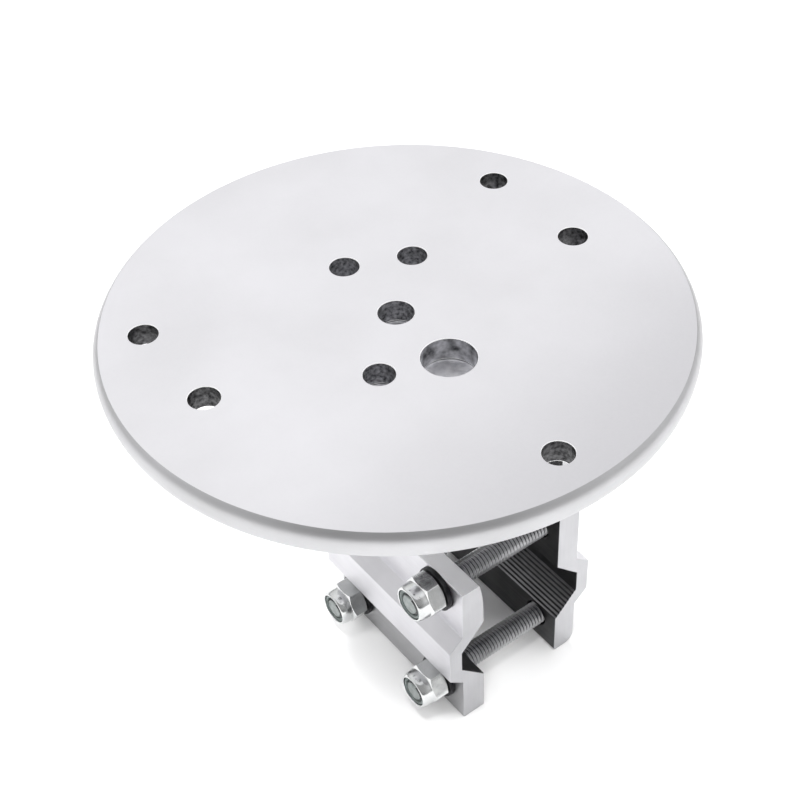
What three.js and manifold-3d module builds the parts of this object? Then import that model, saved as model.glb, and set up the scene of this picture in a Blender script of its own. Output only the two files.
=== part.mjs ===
// Round mounting plate carried on a two-jaw rail clamp.
// Millimetres, +Z up. The origin is on the floor under the centre of the plate.
// The moving jaw closes along +X, and the clamped rail runs along Y.

import * as THREE from 'three';
import { mergeVertices } from 'three/addons/utils/BufferGeometryUtils.js';
import Module from 'manifold-3d';

const wasm = await Module();
wasm.setup();

// Plate
const PLATE_TOP = 146;
const PLATE_THICKNESS = 7.4;
const PLATE_RADIUS = 84.2;
const TOP_EDGE_RADIUS = 82.3;
const BOTTOM_EDGE_RADIUS = 83.4;
const RIM_STEPS = 4;
const PLATE_SEGMENTS = 96;

// The plate's holes: distance from the centre, angle from +X in degrees, hole radius
const PLATE_HOLES = [
  { radius: 68.2, angle: 27, hole: 4.2 },
  { radius: 69.9, angle: 148.1, hole: 4.3 },
  { radius: 69.9, angle: 268.5, hole: 4.4 },
  { radius: 60.8, angle: -5, hole: 4.4 },
  { radius: 60.2, angle: 176, hole: 4.5 },
  { radius: 25.9, angle: 42.5, hole: 4.4 },
  { radius: 25.9, angle: 223, hole: 4.5 },
  { radius: 25.8, angle: 88, hole: 4.4 },
  { radius: 24.1, angle: 269, hole: 7.8 },
  { radius: 0, angle: 0, hole: 5.2 },
];

// Jaws: one section, extruded along Y
const JAW_LENGTH = 66;
const JAW_THICKNESS = 8.4;
const JAW_HEIGHT = 60;
const FIXED_FACE_X = 35.4;
const JAW_GAP = 32.2;
const MOVING_FACE_X = FIXED_FACE_X - JAW_GAP;
const FIXED_JAW_Y = 1;
const MOVING_JAW_Y = -1.3;
const GROOVE_MID = 29.2;
const GROOVE_DEPTH = 8.7;
const GROOVE_MOUTH_HALF = 12.8;
const GROOVE_FLOOR_HALF = 4;
const RIDGE_DEPTH = 13.6;
const RIDGE_BASE_HALF = 11.1;
const RIDGE_TOP_HALF = 6.8;
const TOOTH_COUNT = 9;
const TOOTH_DEPTH = 0.5;
const CROWN_START = 47;
const CROWN_DROP = 1.5;
const CORNER_ROUND = 2.5;
const TOE_ROUND = 3.6;
const TOE_EDGE_ROUND = 1.2;
const ROUND_STEPS = 4;

// Foot of the fixed bracket, under the plate
const SEAT_GAP = 0.2;
const FOOT_THICKNESS = 10;
const FOOT_END_X = -31;
const FOOT_TOP = PLATE_TOP - PLATE_THICKNESS - SEAT_GAP;
const FOOT_BOTTOM = FOOT_TOP - FOOT_THICKNESS;

// Clamp bolts (countersunk M8) with lock nuts, and plate screws (M6)
const BOLT_RADIUS = 3.9;
const BOLT_HOLE_RADIUS = 4.5;
const BOLT_LENGTH = 60;
const BOLT_CHAMFER = 0.7;
const HEAD_RADIUS = 7.9;
const HEAD_RECESS = 0.2;
const COUNTERSINK_RADIUS = 8.5;
const KEY_ACROSS_FLATS = 5;
const KEY_DEPTH = 3;
const BOLT_MID_Y = -0.5;
const BOLT_SPACING_Y = 44;
const LOWER_BOLT_Z = 10.7;
const UPPER_BOLT_Z = 53.8;
const WASHER_RADIUS = 7.4;
const WASHER_THICKNESS = 1.6;
const NUT_ACROSS_FLATS = 13;
const NUT_HEX_HEIGHT = 6.8;
const NUT_HEIGHT = 9.5;
const NUT_BORE_RADIUS = 4.1;
const COLLAR_RADIUS = 6.3;
const COLLAR_ROUND = 1.2;
const INSERT_POCKET_RADIUS = 5.1;
const INSERT_RADIUS = 4.9;
const INSERT_RECESS = 0.4;
const HEX_CHAMFER = 0.9;

const SCREW_RADIUS = 2.9;
const SCREW_HOLE_RADIUS = 3.3;
const TAPPED_RADIUS = 3.1;
const TAPPED_DEPTH = 5;
const SCREW_REACH = 4.5;
const SCREW_HEAD_RADIUS = 5;
const SCREW_HEAD_HEIGHT = 6;
const SOCKET_RADIUS = 2.9;
const SOCKET_DEPTH = 3.2;
const SCREW_WASHER_RADIUS = 6;
const SCREW_WASHER_THICKNESS = 1.2;
const SCREW_X = 24;
const SCREW_Y = 25.5;

const ROUND_SEGMENTS = 24;
const CUT_MARGIN = 1;

function material(color, roughness, metalness) {
  return new THREE.MeshStandardMaterial({ color, roughness, metalness });
}

const finishes = {
  aluminium: () => material(0xd9dbdc, 0.38, 1),
  steel: () => material(0xb9babb, 0.24, 1),
  darkSteel: () => material(0x6f7072, 0.4, 1),
  nylon: () => material(0x949a98, 0.55, 0),
};

// A closed solid from a geometry: positions only, shared corners merged.
function solidOf(geometry) {
  const bare = geometry.clone();
  bare.deleteAttribute('normal');
  bare.deleteAttribute('uv');
  const merged = mergeVertices(bare);
  const corners = merged.index.array;
  const triangles = [];
  for (let i = 0; i < corners.length; i += 3) {
    const [a, b, c] = [corners[i], corners[i + 1], corners[i + 2]];
    if (a !== b && b !== c && c !== a) triangles.push(a, b, c);
  }
  return new wasm.Manifold(new wasm.Mesh({
    numProp: 3,
    vertProperties: new Float32Array(merged.attributes.position.array),
    triVerts: new Uint32Array(triangles),
  }));
}

function meshOf(name, solid, finish) {
  const result = solid.getMesh();
  const geometry = new THREE.BufferGeometry();
  geometry.setAttribute('position', new THREE.BufferAttribute(new Float32Array(result.vertProperties), 3));
  geometry.setIndex(new THREE.BufferAttribute(new Uint32Array(result.triVerts), 1));
  geometry.computeVertexNormals();
  const mesh = new THREE.Mesh(geometry, finishes[finish]());
  mesh.name = name;
  return mesh;
}

// Shapes turned about an axis, given as [radius, distance along the axis] pairs.
function turned(outline, segments = ROUND_SEGMENTS) {
  return new THREE.LatheGeometry(outline.map(([r, t]) => new THREE.Vector2(r, t)), segments);
}

function turnedUpright(outline, segments) {
  return turned(outline, segments).rotateX(Math.PI / 2);
}

function turnedAlongX(outline, segments) {
  return turned(outline, segments).rotateZ(-Math.PI / 2);
}

function rodOutline(radius, from, to) {
  return [[0, from], [radius, from], [radius, to], [0, to]];
}

function ringOutline(inner, outer, from, to) {
  return [[inner, from], [outer, from], [outer, to], [inner, to], [inner, from]];
}

function uprightRod(radius, x, y, from, to) {
  return solidOf(turnedUpright(rodOutline(radius, from, to)).translate(x, y, 0));
}

function rodAlongX(radius, y, z, from, to) {
  return solidOf(turnedAlongX(rodOutline(radius, from, to)).translate(0, y, z));
}

// A hexagonal prism along X, with a flat on top, from x = from to x = to.
function hexAlongX(acrossFlats, from, to) {
  const cornerRadius = acrossFlats / Math.sqrt(3);
  const hexagon = new THREE.CylinderGeometry(cornerRadius, cornerRadius, to - from, 6);
  return hexagon.rotateZ(-Math.PI / 2).rotateX(Math.PI / 6).translate((from + to) / 2, 0, 0);
}

// An outline in the X-Z plane, extruded along Y with its middle at y = middle.
function extrudedAlongY(outline, length, middle) {
  const shape = new THREE.Shape(outline.map(([x, z]) => new THREE.Vector2(x, z)));
  const geometry = new THREE.ExtrudeGeometry(shape, { depth: length, bevelEnabled: false });
  return solidOf(geometry.rotateX(Math.PI / 2).translate(0, middle + length / 2, 0));
}

function arc(centreX, centreZ, radius, fromDegrees, toDegrees) {
  const points = [];
  for (let i = 0; i <= ROUND_STEPS; i++) {
    const angle = THREE.MathUtils.degToRad(fromDegrees + (toDegrees - fromDegrees) * i / ROUND_STEPS);
    points.push([centreX + radius * Math.cos(angle), centreZ + radius * Math.sin(angle)]);
  }
  return points;
}

// Mounting plate

function screwPositions() {
  return [[SCREW_X, SCREW_Y], [-SCREW_X, SCREW_Y], [-SCREW_X, -SCREW_Y], [SCREW_X, -SCREW_Y]];
}

// The rim bulges below a crisp top edge: one arc down to the widest line, and a
// flatter one on down to the underside.
function rimOutline() {
  const half = PLATE_THICKNESS / 2;
  const points = [[0, PLATE_TOP - PLATE_THICKNESS]];
  for (let i = -RIM_STEPS; i <= RIM_STEPS; i++) {
    const bulge = PLATE_RADIUS - (i < 0 ? BOTTOM_EDGE_RADIUS : TOP_EDGE_RADIUS);
    const arcRadius = (half * half + bulge * bulge) / (2 * bulge);
    const angle = Math.asin(half / arcRadius) * i / RIM_STEPS;
    const radius = PLATE_RADIUS - arcRadius * (1 - Math.cos(angle));
    points.push([radius, PLATE_TOP - half + arcRadius * Math.sin(angle)]);
  }
  points.push([0, PLATE_TOP]);
  return points;
}

function mountingPlate() {
  const bottom = PLATE_TOP - PLATE_THICKNESS;
  let plate = solidOf(turnedUpright(rimOutline(), PLATE_SEGMENTS));
  for (const { radius, angle, hole } of PLATE_HOLES) {
    const turn = THREE.MathUtils.degToRad(angle);
    const [x, y] = [radius * Math.cos(turn), radius * Math.sin(turn)];
    plate = plate.subtract(uprightRod(hole, x, y, bottom - CUT_MARGIN, PLATE_TOP + CUT_MARGIN));
  }
  for (const [x, y] of screwPositions()) {
    plate = plate.subtract(uprightRod(TAPPED_RADIUS, x, y, bottom - CUT_MARGIN, bottom + TAPPED_DEPTH));
  }
  return meshOf('mounting_plate', plate, 'aluminium');
}

// Jaws. Their outlines are [depth behind the gripping face, height] pairs.

function grooveOutline() {
  const points = [];
  const slopeDepth = GROOVE_DEPTH / TOOTH_COUNT;
  const slopeRise = (GROOVE_MOUTH_HALF - GROOVE_FLOOR_HALF) / TOOTH_COUNT;
  for (let i = 0; i < TOOTH_COUNT; i++) {
    const [depth, height] = [slopeDepth * i, GROOVE_MID - GROOVE_MOUTH_HALF + slopeRise * i];
    points.push([depth, height]);
    points.push([depth + slopeDepth / 2 + TOOTH_DEPTH / 2, height + slopeRise / 2 - TOOTH_DEPTH / 2]);
  }
  points.push([GROOVE_DEPTH, GROOVE_MID - GROOVE_FLOOR_HALF]);
  points.push([GROOVE_DEPTH, GROOVE_MID + GROOVE_FLOOR_HALF]);
  points.push([0, GROOVE_MID + GROOVE_MOUTH_HALF]);
  return points;
}

function ridgeOutline() {
  return [
    [JAW_THICKNESS, GROOVE_MID + RIDGE_BASE_HALF],
    [RIDGE_DEPTH, GROOVE_MID + RIDGE_TOP_HALF],
    [RIDGE_DEPTH, GROOVE_MID - RIDGE_TOP_HALF],
    [JAW_THICKNESS, GROOVE_MID - RIDGE_BASE_HALF],
  ];
}

function cutBoltHoles(jaw, from, to) {
  let drilled = jaw;
  for (const { y, z } of boltPlaces()) {
    drilled = drilled.subtract(rodAlongX(BOLT_HOLE_RADIUS, y, z, from - CUT_MARGIN, to + CUT_MARGIN));
  }
  return drilled;
}

// A right-angled cone that opens on the fixed jaw's outer face.
function countersink(y, z) {
  const outerFace = FIXED_FACE_X + JAW_THICKNESS;
  const end = outerFace + CUT_MARGIN;
  const cone = turnedAlongX([
    [0, outerFace - COUNTERSINK_RADIUS],
    [COUNTERSINK_RADIUS + CUT_MARGIN, end],
    [0, end],
  ]);
  return solidOf(cone.translate(0, y, z));
}

// Above its groove, the moving jaw's gripping face falls away in a shallow arc up to a crisp top edge.
function crownOutline() {
  const rise = JAW_HEIGHT - CROWN_START;
  const radius = (rise * rise + CROWN_DROP * CROWN_DROP) / (2 * CROWN_DROP);
  const sweep = THREE.MathUtils.radToDeg(Math.asin(rise / radius));
  return arc(radius, CROWN_START, radius, 180, 180 - sweep);
}

function movingJaw() {
  const outline = [
    [0, 0],
    ...grooveOutline(),
    ...crownOutline(),
    [JAW_THICKNESS, JAW_HEIGHT],
    ...ridgeOutline(),
    [JAW_THICKNESS, 0],
  ].map(([depth, height]) => [MOVING_FACE_X - depth, height]);
  const jaw = extrudedAlongY(outline, JAW_LENGTH, MOVING_JAW_Y);
  return meshOf('moving_jaw', cutBoltHoles(jaw, MOVING_FACE_X - RIDGE_DEPTH, MOVING_FACE_X), 'aluminium');
}

function fixedJawBracket() {
  const corner = FOOT_BOTTOM - CORNER_ROUND;
  const outline = [
    ...arc(TOE_EDGE_ROUND, TOE_EDGE_ROUND, TOE_EDGE_ROUND, -90, -180),
    ...grooveOutline(),
    ...arc(-CORNER_ROUND, corner, CORNER_ROUND, 0, 90),
    [FOOT_END_X - FIXED_FACE_X, FOOT_BOTTOM],
    [FOOT_END_X - FIXED_FACE_X, FOOT_TOP],
    [JAW_THICKNESS, FOOT_TOP],
    ...ridgeOutline(),
    ...arc(JAW_THICKNESS - TOE_ROUND, TOE_ROUND, TOE_ROUND, 0, -90),
  ].map(([depth, height]) => [FIXED_FACE_X + depth, height]);
  let bracket = extrudedAlongY(outline, JAW_LENGTH, FIXED_JAW_Y);
  bracket = cutBoltHoles(bracket, FIXED_FACE_X, FIXED_FACE_X + RIDGE_DEPTH);
  for (const { y, z } of boltPlaces()) {
    bracket = bracket.subtract(countersink(y, z));
  }
  for (const [x, y] of screwPositions()) {
    bracket = bracket.subtract(
      uprightRod(SCREW_HOLE_RADIUS, x, y, FOOT_BOTTOM - CUT_MARGIN, FOOT_TOP + CUT_MARGIN));
  }
  return meshOf('fixed_jaw_bracket', bracket, 'aluminium');
}

// Clamp bolts, lock nuts and the nuts' washers

function boltPlaces() {
  const frontY = BOLT_MID_Y - BOLT_SPACING_Y / 2;
  const rearY = BOLT_MID_Y + BOLT_SPACING_Y / 2;
  return [
    { name: 'upper_front', y: frontY, z: UPPER_BOLT_Z },
    { name: 'upper_rear', y: rearY, z: UPPER_BOLT_Z },
    { name: 'lower_front', y: frontY, z: LOWER_BOLT_Z },
    { name: 'lower_rear', y: rearY, z: LOWER_BOLT_Z },
  ];
}

const HEAD_X = FIXED_FACE_X + JAW_THICKNESS - HEAD_RECESS;
const NUT_WASHER_X = MOVING_FACE_X - JAW_THICKNESS - SEAT_GAP;
const NUT_X = NUT_WASHER_X - WASHER_THICKNESS - SEAT_GAP;

function clampBolt({ name, y, z }) {
  const tip = HEAD_X - BOLT_LENGTH;
  const body = solidOf(turnedAlongX([
    [0, tip],
    [BOLT_RADIUS - BOLT_CHAMFER, tip],
    [BOLT_RADIUS, tip + BOLT_CHAMFER],
    [BOLT_RADIUS, HEAD_X - (HEAD_RADIUS - BOLT_RADIUS)],
    [HEAD_RADIUS, HEAD_X],
    [0, HEAD_X],
  ]));
  const key = solidOf(hexAlongX(KEY_ACROSS_FLATS, HEAD_X - KEY_DEPTH, HEAD_X + CUT_MARGIN));
  return meshOf(`clamp_bolt_${name}`, body.subtract(key).translate([0, y, z]), 'darkSteel');
}

function lockNut({ name, y, z }) {
  const hexEnd = NUT_X - NUT_HEX_HEIGHT;
  const end = NUT_X - NUT_HEIGHT;
  const cornerRadius = NUT_ACROSS_FLATS / Math.sqrt(3);
  const chamfered = solidOf(turnedAlongX([
    [0, hexEnd],
    [cornerRadius - HEX_CHAMFER, hexEnd],
    [cornerRadius, hexEnd + HEX_CHAMFER],
    [cornerRadius, NUT_X - HEX_CHAMFER],
    [cornerRadius - HEX_CHAMFER, NUT_X],
    [0, NUT_X],
  ]));
  const collar = solidOf(turnedAlongX([
    [0, end],
    [COLLAR_RADIUS - COLLAR_ROUND, end],
    [COLLAR_RADIUS, end + COLLAR_ROUND],
    [COLLAR_RADIUS, hexEnd + CUT_MARGIN],
    [0, hexEnd + CUT_MARGIN],
  ]));
  const bore = rodAlongX(NUT_BORE_RADIUS, 0, 0, end - CUT_MARGIN, NUT_X + CUT_MARGIN);
  const pocket = rodAlongX(INSERT_POCKET_RADIUS, 0, 0, end - CUT_MARGIN, hexEnd);
  const hexagon = solidOf(hexAlongX(NUT_ACROSS_FLATS, hexEnd, NUT_X)).intersect(chamfered);
  const nut = hexagon.add(collar).subtract(bore).subtract(pocket);
  return meshOf(`lock_nut_${name}`, nut.translate([0, y, z]), 'steel');
}

function nutInsert({ name, y, z }) {
  const from = NUT_X - NUT_HEIGHT + INSERT_RECESS;
  const to = NUT_X - NUT_HEX_HEIGHT - SEAT_GAP;
  const ring = turnedAlongX(ringOutline(NUT_BORE_RADIUS, INSERT_RADIUS, from, to)).translate(0, y, z);
  return meshOf(`nut_insert_${name}`, solidOf(ring), 'nylon');
}

function nutWasher({ name, y, z }) {
  const outline = ringOutline(NUT_BORE_RADIUS, WASHER_RADIUS, NUT_WASHER_X - WASHER_THICKNESS, NUT_WASHER_X);
  return meshOf(`nut_washer_${name}`, solidOf(turnedAlongX(outline).translate(0, y, z)), 'darkSteel');
}

// Screws that hold the bracket's foot up against the plate

const SCREW_WASHER_TOP = FOOT_BOTTOM - SEAT_GAP;
const SCREW_HEAD_TOP = SCREW_WASHER_TOP - SCREW_WASHER_THICKNESS - SEAT_GAP;

function plateScrew([x, y], index) {
  const tip = PLATE_TOP - PLATE_THICKNESS + SCREW_REACH;
  const bottom = SCREW_HEAD_TOP - SCREW_HEAD_HEIGHT;
  const body = solidOf(turnedUpright([
    [0, bottom],
    [SCREW_HEAD_RADIUS, bottom],
    [SCREW_HEAD_RADIUS, SCREW_HEAD_TOP],
    [SCREW_RADIUS, SCREW_HEAD_TOP],
    [SCREW_RADIUS, tip],
    [0, tip],
  ]));
  const socketHeight = SOCKET_DEPTH + CUT_MARGIN;
  const socket = new THREE.CylinderGeometry(SOCKET_RADIUS, SOCKET_RADIUS, socketHeight, 6);
  socket.rotateX(Math.PI / 2).translate(0, 0, bottom + SOCKET_DEPTH - socketHeight / 2);
  const screw = body.subtract(solidOf(socket)).translate([x, y, 0]);
  return meshOf(`plate_screw_${index + 1}`, screw, 'darkSteel');
}

function screwWasher([x, y], index) {
  const bottom = SCREW_WASHER_TOP - SCREW_WASHER_THICKNESS;
  const ring = turnedUpright(ringOutline(SCREW_HOLE_RADIUS, SCREW_WASHER_RADIUS, bottom, SCREW_WASHER_TOP));
  return meshOf(`screw_washer_${index + 1}`, solidOf(ring.translate(x, y, 0)), 'darkSteel');
}

function assembly() {
  const group = new THREE.Group();
  group.add(mountingPlate(), fixedJawBracket(), movingJaw());
  for (const makePiece of [clampBolt, nutWasher, lockNut, nutInsert]) {
    group.add(...boltPlaces().map(makePiece));
  }
  for (const makePiece of [plateScrew, screwWasher]) {
    group.add(...screwPositions().map(makePiece));
  }
  return group;
}

export default assembly();
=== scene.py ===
"""Round mounting plate on a two-jaw rail clamp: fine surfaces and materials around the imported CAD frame.

Metres, +Z up, the frame's own axes. Every piece is built from what the frame says about its CAD node."""

import math

import bmesh
import bpy
from mathutils import Matrix, Vector


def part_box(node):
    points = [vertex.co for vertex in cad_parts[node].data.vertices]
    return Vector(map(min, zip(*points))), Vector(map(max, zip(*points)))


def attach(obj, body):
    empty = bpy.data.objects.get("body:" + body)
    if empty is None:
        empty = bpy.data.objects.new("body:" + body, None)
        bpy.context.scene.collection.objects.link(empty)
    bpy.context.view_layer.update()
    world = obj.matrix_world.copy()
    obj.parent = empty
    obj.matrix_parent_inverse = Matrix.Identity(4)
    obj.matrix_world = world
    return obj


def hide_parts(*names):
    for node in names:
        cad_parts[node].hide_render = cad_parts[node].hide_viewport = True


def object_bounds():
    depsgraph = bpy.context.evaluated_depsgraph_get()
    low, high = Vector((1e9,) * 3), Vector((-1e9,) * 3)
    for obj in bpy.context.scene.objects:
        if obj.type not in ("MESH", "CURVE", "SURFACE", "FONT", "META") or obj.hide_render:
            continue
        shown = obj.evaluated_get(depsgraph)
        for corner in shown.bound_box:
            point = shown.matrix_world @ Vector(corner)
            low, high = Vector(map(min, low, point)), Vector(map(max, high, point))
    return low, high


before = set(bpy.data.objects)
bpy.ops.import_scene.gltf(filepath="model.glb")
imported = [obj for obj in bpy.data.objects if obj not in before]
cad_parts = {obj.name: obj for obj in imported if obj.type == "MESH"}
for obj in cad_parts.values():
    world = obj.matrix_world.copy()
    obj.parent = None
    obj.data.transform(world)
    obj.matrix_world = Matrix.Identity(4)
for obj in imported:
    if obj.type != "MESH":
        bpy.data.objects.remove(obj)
CAD_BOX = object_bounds()

MM = 0.001
TOLERANCE = 0.002 * MM
WELD = 0.0005 * MM
X_AXIS, Y_AXIS, Z_AXIS = 0, 1, 2
PLACES = ("upper_front", "upper_rear", "lower_front", "lower_rear")

# Fineness
RING_POINTS = 48
HOLE_POINTS = 64
PLATE_POINTS = 288
FILLET_STEP = math.radians(18)
GENTLE_TURN = math.radians(26)
SHARP_ANGLE = math.radians(31)
RIM_STEPS = 10
END_STEPS = 3
DOME_STEPS = 8
HEAD_ROUND_STEPS = 5
WASHER_ROUND_STEPS = 4
LIP_STEPS = 3

# PLATE_LOOKS, JAW_LOOKS and BOLT_LOOKS are in the order of the piece's material slots

# Plate
PLATE_LOOKS = ("plate", "drilled", "underside", "rim", "shaded", "bored", "edge")
PLATE_EDGE_ROUND = 0.2 * MM
RIM_BAND = 3 * MM
LARGE_BORE = 7 * MM
OVER_FOOT = 40 * MM
TAPPED_DEPTH = 5 * MM
TAPPED_LEAD = 0.4 * MM
# Painted shade: the plate top's colour darkens towards an azimuth, between two distances from the middle, to a
# tone
SHADE_SIDE_AZIMUTH = -80
SHADE_SIDE_START = 20 * MM
SHADE_SIDE_END = 90 * MM
SHADE_SIDE_TONE = (0.68, 0.675, 0.70, 1)
# Painted highlight: how strongly the holes' edges glow
EDGE_GLINT = 0.5

# Jaws
JAW_LOOKS = ("jaw", "drilled", "grip", "tooth", "cut_end", "foot", "skirt", "top")
JAW_EDGE_ROUND = 0.35 * MM
JAW_END_ROUND = 0.14 * MM
TOOTH_SHARE = 0.25
GRIP_DEPTH = 10 * MM
GRIP_LEVEL = 5 * MM
SKIRT_TOP = 22.5 * MM
END_BAND = 1 * MM

# Which way a face looks: its normal's share along an axis, from 1 when square on to 0 when edge on
SQUARE_ON = 0.9
TILTED = 0.3
GRAZING = 0.2
EDGE_ON = 0.1

# Holes
LARGEST_HOLE = 10 * MM
HOLE_EDGE_ROUND = 0.25 * MM
WALL_BAND = 0.04 * MM
CUT_MARGIN = 1 * MM

# Threads: a profile's points as [share of the pitch, share of the depth]
THREAD_PROFILE = [(0.0, 0.04), (0.06, 0.0), (0.12, 0.04), (0.45, 0.94), (0.56, 1.0), (0.67, 0.94)]
THREAD_DEPTH_SHARE = 0.56
ROOT_SHARE = 0.62
TIP_STEP = 0.2 * MM

# Clamp bolts
BOLT_LOOKS = ("bolt", "root", "tip")
BOLT_RADIUS = 3.9 * MM
BOLT_PITCH = 1.25 * MM
HEAD_EDGE = 0.25 * MM
HEAD_EDGE_MIDDLE = (0.17 * MM, 0.08 * MM)
KEY_ACROSS_FLATS = 5 * MM
KEY_CORNER_ROUND = 0.1 * MM
KEY_MOUTH = 0.6
KEY_LEAD = 0.3 * MM
KEY_DEPTH = 3 * MM

# Lock nuts
HEX_CORNER_ROUND = 0.35 * MM
HEX_CHAMFER_SLOPE = math.tan(math.radians(30))
CHAMFER_CIRCLE_SHARE = 0.955
NUT_BORE = 4.1 * MM
NUT_BORE_LEAD = 0.4 * MM
NUT_HEX_HEIGHT = 5.6 * MM
NUT_POCKET_FROM_SEAT = 6.8 * MM
COLLAR_RADIUS = 6.3 * MM
COLLAR_CREASE = 0.05 * MM
COLLAR_CREASE_ALONG = 0.12 * MM
COLLAR_ROUND_ACROSS = 0.95 * MM
COLLAR_ROUND_ALONG = 3.2 * MM
LIP_ROUND = 0.25 * MM
POCKET_RADIUS = 5.1 * MM
INSERT_GAP = 0.06 * MM
INSERT_RIM = ((0, 0.15 * MM), (0.15 * MM, 0.02 * MM), (0.4 * MM, 0), (0.65 * MM, 0.08 * MM))
INSERT_DISH = ((0.1 * MM, 0.3 * MM), (0, 0.5 * MM))

# Washers
WASHER_ROUND = 0.3 * MM
WASHER_BORE_LEAD = 0.15 * MM
WASHER_CRISP_INNER = 0.05 * MM
WASHER_CRISP_OUTER = 0.08 * MM
FOOT_WASHER_BORE = 3.3 * MM

# Plate screws
SCREW_RADIUS = 2.9 * MM
SCREW_PITCH = 1.0 * MM
SCREW_HEAD_HEIGHT = 6 * MM
SCREW_HEAD_ROUND = 0.6 * MM
SCREW_HEAD_STEP = 0.12 * MM
KNURL_START = 0.8 * MM
KNURL_END = 0.4 * MM
KNURL_VALLEY = 0.955
SCREW_HEAD_EDGE = 0.3 * MM
SOCKET_ACROSS_FLATS = 5 * MM
SOCKET_LEAD = 0.25 * MM
SOCKET_LEAD_ACROSS = 0.6 * MM
SOCKET_DEPTH = 3.2 * MM

# Camera and stage
FLOOR_HALF = 6.0
FLOOR_DROP = 0.05 * MM
FLOOR_TONE = (0.95, 0.95, 0.95, 1)
LOOK_AT = Vector((-20.8, -29.2)) * MM
CAMERA_AZIMUTH = -125.32
CAMERA_ELEVATION = 42.81
CAMERA_ROLL = -2.8
CAMERA_DISTANCE = 415.7 * MM
SENSOR = 36.0
LENS = 71.85

# Room: what the metals reflect
ROOM_LIGHT = 1.04
ROOM_HORIZON = 0.45
ROOM_FULL_ELEVATION = 30
ROOM_DARK = 0.38
DARK_ELEVATION = 38
DARK_CORE = 28
DARK_FADE = 62

# Lamps of the floor: name, energy, spread, azimuth and elevation in degrees
FLOOR_LAMPS = (
    ("floor_dome", 2.4, 170, -75, 35),
    ("floor_top", 1.6, 20, 180, 85),
    ("floor_back", 2.1, 20, 75, 25),
    ("floor_front", 1.2, 25, -135, 25),
    ("floor_left", 0.5, 25, 165, 45),
)


# Reading the frame

def flat_loops(node, axis, level):
    """The closed outlines, as lists of points, of a CAD node's flat face at a level along an axis."""
    mesh = bmesh.new()
    mesh.from_mesh(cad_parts[node].data)
    bmesh.ops.remove_doubles(mesh, verts=mesh.verts, dist=TOLERANCE)
    mesh.edges.index_update()

    def lies_in_plane(face):
        return all(abs(corner.co[axis] - level) < TOLERANCE for corner in face.verts)

    edges = {e for e in mesh.edges if [lies_in_plane(f) for f in e.link_faces].count(True) == 1}
    loops = []
    while edges:
        edge = min(edges, key=lambda e: e.index)
        edges.remove(edge)
        first, current = edge.verts
        loop = [first.co.copy()]
        while current != first:
            loop.append(current.co.copy())
            edge = next(e for e in current.link_edges if e in edges)
            edges.remove(edge)
            current = edge.other_vert(current)
        loops.append(loop)
    mesh.free()
    return loops


def circles(node, axis, level, largest):
    """Centre and radius of each round edge in that plane, up to a largest radius."""
    found = []
    for loop in flat_loops(node, axis, level):
        centre = sum(loop, Vector()) / len(loop)
        radius = (loop[0] - centre).length
        if radius < largest:
            found.append((centre, radius))
    return found


def section(node):
    """A prism's outline in the X-Z plane, anticlockwise."""
    low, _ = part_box(node)
    loop = max(flat_loops(node, Y_AXIS, low.y), key=len)
    points = [Vector((p.x, p.z)) for p in loop]
    area = sum(a.cross(b) for a, b in neighbours(points))
    return points if area > 0 else points[::-1]


def axis_of(node):
    """The middle of a CAD node's box, through which its axis runs."""
    low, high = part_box(node)
    return (low + high) / 2


# Outlines

def arc_between(centre, start, end):
    """Points of the short arc round a centre between two points at one distance from it."""
    first, last = start - centre, end - centre
    steps = math.ceil(first.angle(last) / FILLET_STEP)
    turned = [first.normalized().slerp(last.normalized(), s / steps) for s in range(steps + 1)]
    return [centre + direction * first.length for direction in turned]


def fillet(before, corner, after, radius, reach_share=1.0):
    """The rounded corner between two straight edges. It takes up at most a share of either edge."""
    to_before, to_after = before - corner, after - corner
    turn = math.pi - to_before.angle(to_after)
    reach = min(radius * math.tan(turn / 2), reach_share * to_before.length, reach_share * to_after.length)
    inward = (to_before.normalized() + to_after.normalized()).normalized()
    centre = corner + inward * (reach / math.sin(turn / 2))
    start, end = corner + to_before.normalized() * reach, corner + to_after.normalized() * reach
    return arc_between(centre, start, end)


def crossings(outline, height):
    """Where a horizontal line at a height crosses the outline, from the lowest X up."""
    found = []
    for a, b in neighbours(outline):
        if (a.y - height) * (b.y - height) < 0:
            found.append(a.lerp(b, (height - a.y) / (b.y - a.y)).x)
    return sorted(found)


def softened(outline, radius):
    """The outline with its corners rounded. A corner between short edges gets a smaller round."""
    points = []
    for i, corner in enumerate(outline):
        before, after = outline[i - 1], outline[(i + 1) % len(outline)]
        turn = math.pi - (before - corner).angle(after - corner)
        if turn < GENTLE_TURN:
            points.append(corner)
        else:
            points.extend(fillet(before, corner, after, radius, TOOTH_SHARE))
    return points


def inset(outline, distance):
    """The outline moved inwards by a distance."""
    moved = []
    for i, point in enumerate(outline):
        arriving = (point - outline[i - 1]).normalized()
        leaving = (outline[(i + 1) % len(outline)] - point).normalized()
        first = Vector((-arriving.y, arriving.x))
        second = Vector((-leaving.y, leaving.x))
        moved.append(point + (first + second) * (distance / (1 + first.dot(second))))
    return moved


def neighbours(outline):
    """The outline's edges, each as its two ends."""
    return zip(outline, outline[1:] + outline[:1])


def quarter(steps):
    """Angles from 0 to a right angle."""
    return [math.pi / 2 * s / steps for s in range(steps + 1)]


def circle(radius, points=RING_POINTS):
    turns = [math.tau * i / points for i in range(points)]
    return [Vector((radius * math.cos(t), radius * math.sin(t))) for t in turns]


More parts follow.
